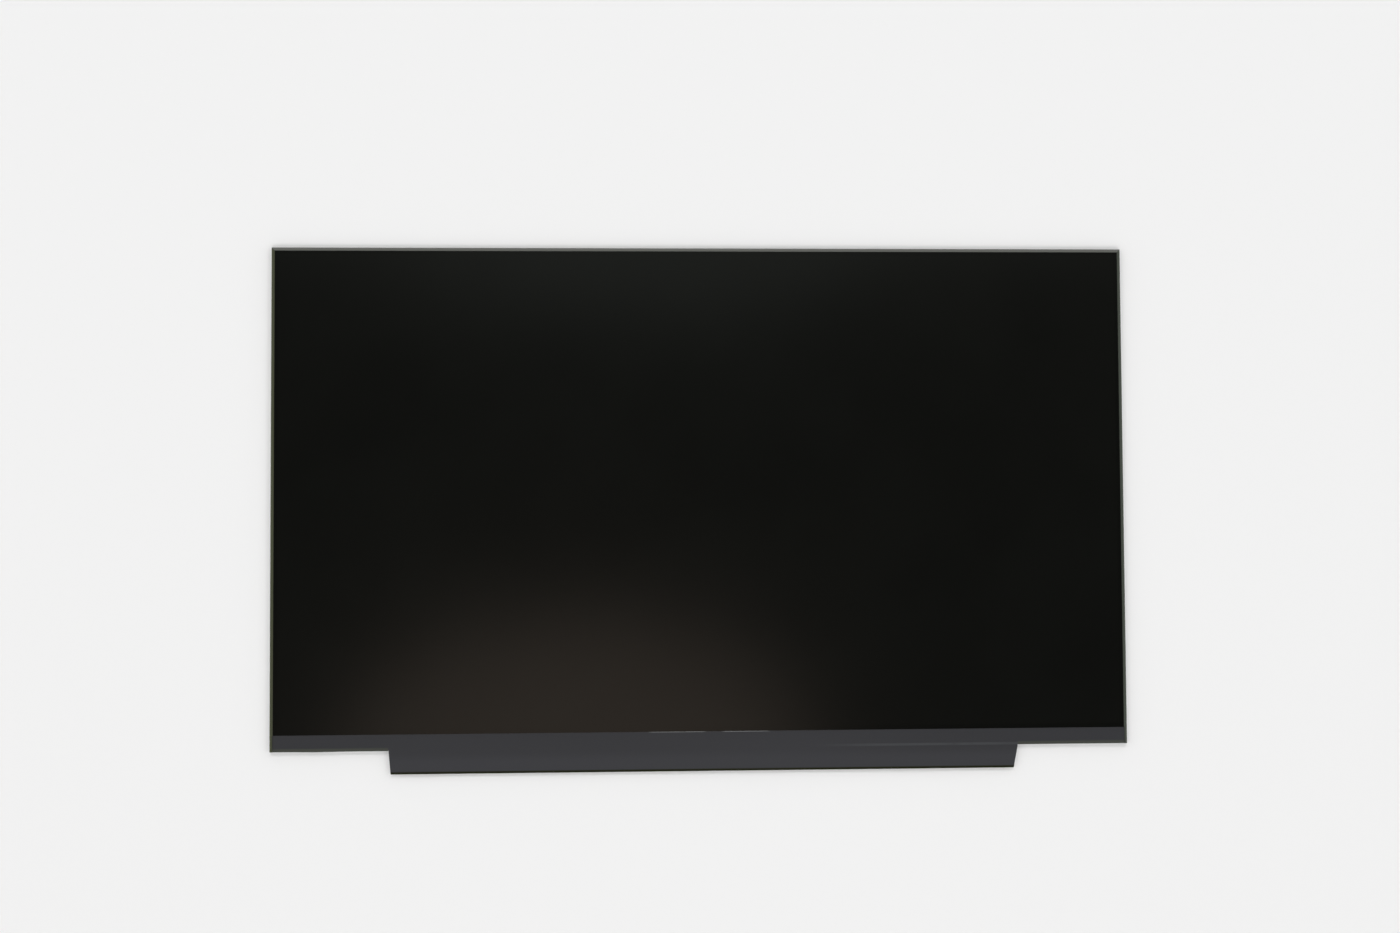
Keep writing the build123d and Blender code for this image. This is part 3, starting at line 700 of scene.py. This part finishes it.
class MakeEdgeStrips(bpy.types.Operator):
    """Fold the three edge strips and mitre them at the upper corners"""

    bl_idname = "display_panel.edge_strips"
    bl_label = "Edge strips"

    def execute(self, context):
        settings = context.scene.display_panel
        half, low, high = BODY_HALF, BODY_LOW_EDGE, BODY_HIGH_EDGE
        side_mitre = high - settings.sizes.mitre_gap
        for where, side in (("left", -1), ("right", 1)):
            ends = Vector((side * half, low)), Vector((side * half, high))
            mitres = [(Vector((side * half, side_mitre)), Vector((-side, 1)))]
            self.make_strip(settings, where, ends, Vector((-side, 0)), mitres)
        ends = Vector((-half, high)), Vector((half, high))
        mitres = [(Vector((side * half, high)), Vector((side, -1))) for side in (-1, 1)]
        self.make_strip(settings, "top", ends, Vector((0, -1)), mitres)
        return {"FINISHED"}

    def make_strip(self, settings, where, ends, inward, mitres):
        """One strip between the ends of its outer edge, cut at its mitres and given its finish."""
        sizes = settings.sizes
        bm = self.fold_strip(sizes, ends, inward)
        for point, normal in mitres:
            geometry = bm.verts[:] + bm.edges[:] + bm.faces[:]
            bmesh.ops.bisect_plane(bm, geom=geometry, plane_co=(*point, 0), plane_no=(*normal, 0),
                                   clear_outer=True)
        thicken(bm, sizes.tape_thickness)
        smooth_by_angle(bm, limit=radians(40))
        # The second colour is the painted highlight along the strip's fold
        film_rgb, highlight_rgb = (getattr(settings.colours, f"{where}_{part}") for part in ("strip", "wear"))
        finish = edge_strip_finish(f"{where}_strip_film", film_rgb, highlight_rgb, sizes)
        place_piece(f"{where}_edge_strip", bm, [finish], "edge_tape", f"{where}_edge_tape")

    def fold_strip(self, sizes, ends, inward):
        """An open sheet that is folded over the front pane and under the tray."""
        front, back = STRIP_HIGH.z, STRIP_LOW.z
        lip = SCREEN_LOW.x - STRIP_LOW.x + sizes.film_inset - sizes.lip_gap
        underside = STRIP_HIGH.x - STRIP_LOW.x
        bm = bmesh.new()
        edges = [bm.edges.new([bm.verts.new((*(end + inward * lip), front)) for end in ends])]
        for offset in ((*(-inward * lip), 0), (0, 0, back - front), (*(inward * underside), 0)):
            edges = extrude_by(bm, edges, Vector(offset))
        folds = [edge for edge in bm.edges if len(edge.link_faces) == 2]
        for level, radius in ((front, sizes.front_fold), (back, sizes.back_fold)):
            near = [edge for edge in folds if edge.is_valid and abs(edge.verts[0].co.z - level) < radius / 2]
            round_edges(bm, near, radius, segments=6)
        return bm


class MakeCoverTape(bpy.types.Operator):
    """Fold the grey cover tape over the driver ledge, down onto the board and round the tab's foot"""

    bl_idname = "display_panel.cover_tape"
    bl_label = "Cover tape"

    def execute(self, context):
        settings = context.scene.display_panel
        sizes = settings.sizes
        bm = bmesh.new()
        stations = (COVER_LOW.x, -sizes.tab_left, sizes.tab_right, COVER_HIGH.x)
        row = [bm.verts.new((x, COVER_HIGH.y, COVER_HIGH.z)) for x in stations]
        edges = [bm.edges.new(pair) for pair in zip(row, row[1:])]
        crease_top = BODY_LOW_EDGE + sizes.crease_top
        left, tab, right = extrude_by(bm, edges, Vector((0, crease_top - COVER_HIGH.y, 0)))
        self.fold_tab(bm, tab, sizes)
        for end in (left, right):
            self.fold_end(bm, end, sizes)
        self.relieve_root(bm, sizes)
        self.divide_runs(bm)
        self.settle(bm, sizes)
        thicken(bm, sizes.tape_thickness)
        smooth_by_angle(bm, limit=radians(35))
        finish = cover_tape_finish(settings.colours, sizes)
        place_piece("cover_tape", bm, [finish], "cover_tape", "front_cover_tape")
        return {"FINISHED"}

    def fold_tab(self, bm, edge, sizes):
        """Crease the tape down to the board, run it to the foot of the tab and fold it over."""
        tab_level = BOARD_HIGH.z + sizes.tab_rise
        slope = extrude_by(bm, [edge], Vector((0, -sizes.crease_run, tab_level - COVER_HIGH.z)))
        crease_low = BODY_LOW_EDGE + sizes.crease_top - sizes.crease_run
        foot = extrude_by(bm, slope, Vector((0, COVER_LOW.y - crease_low, 0)))
        for vert in foot[0].verts:
            vert.co.x += sizes.left_taper if vert.co.x < 0 else -sizes.right_taper
        extrude_by(bm, foot, Vector((0, 0, BOARD_LOW.z - tab_level)))
        round_edges(bm, foot, sizes.tab_fold, segments=5)

    def fold_end(self, bm, edge, sizes):
        """Carry the tape to the body's lower edge beside the tab and fold it down."""
        corner = extrude_by(bm, [edge], Vector((0, -sizes.crease_top, 0)))
        extrude_by(bm, corner, Vector((0, 0, COVER_LOW.z - COVER_HIGH.z)))
        round_edges(bm, corner, sizes.end_fold, segments=4)

    def relieve_root(self, bm, sizes):
        """Draw the left end back from the tab's root, which leaves the small relief there."""
        end_top = BODY_LOW_EDGE + sizes.crease_top / 2
        end_low = BODY_LOW_EDGE - sizes.tape_thickness
        for vert in bm.verts:
            near = abs(vert.co.x + sizes.tab_left) < sizes.root_relief
            if near and end_low < vert.co.y < end_top:
                vert.co.x -= sizes.root_relief

    def divide_runs(self, bm):
        """Divide the long runs along the tape, so that it can bend."""
        long_run = 20 * MM
        long_edges = [edge for edge in bm.edges if abs(edge.verts[0].co.x - edge.verts[1].co.x) > long_run]
        bmesh.ops.subdivide_edges(bm, edges=long_edges, cuts=120, use_grid_fill=True)

    def settle(self, bm, sizes):
        """Let the film rise and fall on the tab, and its loose left end stand off a little."""
        waves_along, waves_down, pattern = 0.03 / MM, 0.2 / MM, 1.7
        tab_top = BODY_LOW_EDGE - 1.0 * MM
        for vert in bm.verts:
            if vert.co.y < tab_top and vert.co.z > BOARD_HIGH.z:
                wave = noise.noise(Vector((vert.co.x * waves_along, vert.co.y * waves_down, pattern)))
                vert.co.z -= sizes.tape_wave * (1 + wave) / 2
            elif vert.co.y < BODY_LOW_EDGE + sizes.end_fold and vert.co.x < -sizes.tab_left:
                near = 1 - abs(vert.co.x + sizes.bulge_place) / sizes.bulge_reach
                vert.co.y -= sizes.bulge * smoothstep(near)


class DressCell(bpy.types.Operator):
    """Finish the glass panes, the rear polariser, the shading ring and the driver chips"""

    bl_idname = "display_panel.cell"
    bl_label = "Cell"

    def execute(self, context):
        colours = context.scene.display_panel.colours
        polariser = sheet_finish("rear_polarising_film", colours.cell_glass, roughness=0.16)
        silicon = tracked_finish("polished_silicon", colours.silicon, shade(colours.silicon, 1.3),
                                 tracks_per_mm=12.0, covered=0.4, roughness=0.14)
        dress(glass_finish(colours), "array_glass", "filter_glass")
        dress(polariser, "rear_polariser")
        dress(moulded_finish("shading_film", colours.back_film, roughness=0.62), "shading_tape")
        dress(silicon, "driver_chips")
        return {"FINISHED"}


class DressBacklight(bpy.types.Operator):
    """Finish the tray, the frame, the sheets and the light bar"""

    bl_idname = "display_panel.backlight"
    bl_label = "Backlight"

    def execute(self, context):
        colours = context.scene.display_panel.colours
        diffuser = sheet_finish("diffuser_film", colours.white_sheet, roughness=0.60)
        strip = tracked_finish("light_strip", colours.white_sheet, shade(colours.white_sheet, 0.85),
                               tracks_per_mm=0.7, covered=0.5, roughness=0.4)
        dress(rolled_metal_finish(colours), "rear_plate")
        dress(moulded_finish("frame_plastic", colours.frame_plastic, roughness=0.50), "mould_frame")
        dress(sheet_finish("reflector_film", colours.white_sheet, roughness=0.35), "reflector_sheet")
        dress(diffuser, "lower_diffuser", "upper_diffuser")
        for name, across, node in (("upright_prism_film", "X", "lower_prism_sheet"),
                                   ("level_prism_film", "Y", "upper_prism_sheet")):
            dress(sheet_finish(name, colours.guide, roughness=0.18, ribs_per_mm=5.0, across=across), node)
        dress(guide_finish(colours), "light_guide")
        dress(strip, "led_strip")
        dress(led_finish(colours), "leds")
        return {"FINISHED"}


class DressBoard(bpy.types.Operator):
    """Finish the board, its flexes, chips, coils and sockets, and the film over its back"""

    bl_idname = "display_panel.board"
    bl_label = "Board"

    def execute(self, context):
        colours = context.scene.display_panel.colours
        solder_mask = tracked_finish("solder_mask", colours.board, shade(colours.board, 1.6),
                                     tracks_per_mm=2.4, covered=0.4, roughness=0.32, groups_per_mm=0.2)
        flex = tracked_finish("amber_flex", colours.flex, opaque(colours.copper),
                              tracks_per_mm=2.2, covered=0.5, roughness=0.3)
        epoxy = moulded_finish("chip_epoxy", colours.package, roughness=0.46, per_mm=14.0)
        ferrite = moulded_finish("coil_ferrite", colours.ferrite, roughness=0.55, per_mm=10.0, depth=0.01)
        plastic = moulded_finish("socket_plastic", colours.socket, roughness=0.44)
        dress(solder_mask, "driver_board")
        dress(flex, "board_flexes")
        dress(epoxy, *CHIPS)
        dress(ferrite, "power_coils")
        dress(plastic, "led_socket", "signal_socket_body")
        dress(plated_finish("socket_shell", colours.shell, roughness=0.28), "signal_socket_shell")
        dress(plated_finish("gold_contacts", colours.gold, roughness=0.22), "signal_socket_contacts")
        dress(back_film_finish(colours), "rear_cover_film")
        return {"FINISHED"}


class MakeCapacitors(bpy.types.Operator):
    """Set columns of capacitors with metal ends beside each chip"""

    bl_idname = "display_panel.capacitors"
    bl_label = "Capacitors"

    def execute(self, context):
        settings = context.scene.display_panel
        sizes = settings.sizes
        bm = bmesh.new()
        first = -(sizes.capacitors - 1) / 2 * sizes.capacitor_pitch
        for chip in CHIPS:
            low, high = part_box(chip)
            middle = (low + high) / 2
            reach = (high.x - low.x) / 2 + sizes.capacitor_gap + sizes.capacitor_length / 2
            for x in (middle.x - reach, middle.x + reach):
                for index in range(sizes.capacitors):
                    self.add_capacitor(bm, sizes, x, middle.y + first + index * sizes.capacitor_pitch)
        finishes = [moulded_finish("capacitor_ceramic", settings.colours.ceramic, roughness=0.4, per_mm=20.0),
                    plated_finish("capacitor_tin", settings.colours.tin, roughness=0.3)]
        place_piece("capacitors", bm, finishes, "capacitor_ceramic", "board_capacitors")
        return {"FINISHED"}

    def add_capacitor(self, bm, sizes, x, y):
        """One capacitor under the board, cut where its metal ends begin."""
        verts = bmesh.ops.create_cube(bm, size=1.0)["verts"]
        extent = Vector((sizes.capacitor_length, sizes.capacitor_width, sizes.capacitor_width))
        bmesh.ops.scale(bm, verts=verts, vec=extent)
        bmesh.ops.translate(bm, verts=verts, vec=(x, y, BOARD_LOW.z - extent.z / 2))
        joined = [item for vert in verts for item in (vert, *vert.link_edges, *vert.link_faces)]
        geometry = list(dict.fromkeys(joined))
        ceramic_half = sizes.capacitor_length / 2 - sizes.capacitor_cap
        for side in (-1, 1):
            cut = (x + side * ceramic_half, y, 0)
            geometry = bmesh.ops.bisect_plane(bm, geom=geometry, plane_co=cut, plane_no=(side, 0, 0))["geom"]
        for item in geometry:
            if isinstance(item, bmesh.types.BMFace):
                item.material_index = int(abs(item.calc_center_median().x - x) > ceramic_half)


class SetStage(bpy.types.Operator):
    """Lay the floor, hang the lamps and cards, set the sky and place the camera"""

    bl_idname = "display_panel.stage"
    bl_label = "Stage"

    def execute(self, context):
        settings = context.scene.display_panel
        stage = settings.stage
        self.lay_floor(settings)
        for name, strength, azimuth, elevation in (
            ("key_lamp", stage.key_strength, pi / 2, stage.key_elevation),
            ("fill_lamp", stage.fill_strength, -pi / 2, stage.key_elevation),
            ("left_lamp", stage.side_strength, pi, stage.side_elevation),
            ("right_lamp", stage.side_strength, 0.0, stage.side_elevation),
        ):
            self.hang_lamp(name, strength, azimuth, elevation, stage.lamp_spread)
        for name in ("low_glow", "high_glow", "edge_glow"):
            self.hang_card(name, settings)
        self.set_sky(context.scene, settings)
        self.place_camera(context.scene, stage)
        context.scene.view_settings.view_transform = "Standard"
        return {"FINISHED"}

    def lay_floor(self, settings):
        """A wide plain floor at the height of the panel's lowest point."""
        paint = Finish("floor_paint", roughness=0.9, specular_ior_level=0.0)
        cloud = paint.grain(per_mm=0.002)
        paint.set("base color", paint.clouded(cloud, settings.colours.floor, darker=0.995, lighter=1.005))
        bm = bmesh.new()
        bmesh.ops.create_grid(bm, x_segments=1, y_segments=1, size=settings.stage.floor_reach)
        floor = add_mesh("floor", bm, [paint.material])
        floor.location.z = CAD_BOX[0].z

    def hang_lamp(self, name, strength, azimuth, elevation, spread):
        """A wide soft lamp at a compass angle from +X and a height above the floor."""
        data = bpy.data.lights.new(name, "SUN")
        data.energy = strength
        data.angle = spread
        lamp = add_object(name, data)
        towards = Vector((cos(azimuth) * cos(elevation), sin(azimuth) * cos(elevation), sin(elevation)))
        lamp.rotation_euler = towards.to_track_quat("Z", "Y").to_euler()

    def hang_card(self, name, settings):
        """A faint card high overhead, which the matte film mirrors as a soft blur."""
        data = bpy.data.lights.new(name, "AREA")
        data.shape = "ELLIPSE"
        data.size, data.size_y = getattr(settings.stage, f"{name}_span")
        data.energy = getattr(settings.stage, f"{name}_power")
        data.color = getattr(settings.colours, name)
        card = add_object(name, data)
        card.location = getattr(settings.stage, f"{name}_place")
        card.visible_camera = False

    def set_sky(self, scene, settings):
        """A dome that is pale at the horizon and dim overhead."""
        world = bpy.data.worlds.new("studio")
        world.use_nodes = True
        tree = world.node_tree
        direction = tree.nodes.new("ShaderNodeTexCoord").outputs["Generated"]
        split = tree.nodes.new("ShaderNodeSeparateXYZ")
        tree.links.new(direction, split.inputs[0])
        dome = tree.nodes.new("ShaderNodeValToRGB")
        tree.links.new(split.outputs["Z"], dome.inputs["Fac"])
        dome.color_ramp.interpolation = "EASE"
        horizon, zenith = dome.color_ramp.elements
        horizon.position = settings.stage.horizon_height
        horizon.color = opaque(settings.colours.horizon)
        zenith.position = settings.stage.zenith_height
        zenith.color = opaque(settings.colours.zenith)
        tree.links.new(dome.outputs["Color"], tree.nodes["Background"].inputs["Color"])
        scene.world = world

    def place_camera(self, scene, stage):
        """The camera that the picture is taken with."""
        data = bpy.data.cameras.new("camera")
        data.lens = stage.lens
        camera = add_object("camera", data)
        camera.location = stage.camera_place
        camera.rotation_euler = stage.camera_turn
        scene.camera = camera


STEPS = (MakeScreenFilm, MakeEdgeStrips, MakeCoverTape, DressCell, DressBacklight, DressBoard, MakeCapacitors,
         SetStage)


class DisplayPanelSidebar(bpy.types.Panel):
    """Steps and settings of the display panel"""

    bl_idname = "VIEW3D_PT_display_panel"
    bl_label = "Display Panel"
    bl_space_type = "VIEW_3D"
    bl_region_type = "UI"
    bl_category = "Display Panel"

    def draw(self, context):
        settings = context.scene.display_panel
        for step in STEPS:
            self.layout.operator(step.bl_idname)
        for group in (settings.sizes, settings.colours, settings.stage):
            box = self.layout.box()
            for name in group.__annotations__:
                box.prop(group, name)


CLASSES = (PanelSizes, PanelColours, StageSettings, DisplayPanel, *STEPS, DisplayPanelSidebar)


def register():
    for entry in CLASSES:
        bpy.utils.register_class(entry)
    bpy.types.Scene.display_panel = PointerProperty(type=DisplayPanel)


def unregister():
    del bpy.types.Scene.display_panel
    for entry in reversed(CLASSES):
        bpy.utils.unregister_class(entry)


def main():
    register()
    for step in STEPS:
        group, name = step.bl_idname.split(".")
        getattr(getattr(bpy.ops, group), name)()


if __name__ == "__main__":
    main()
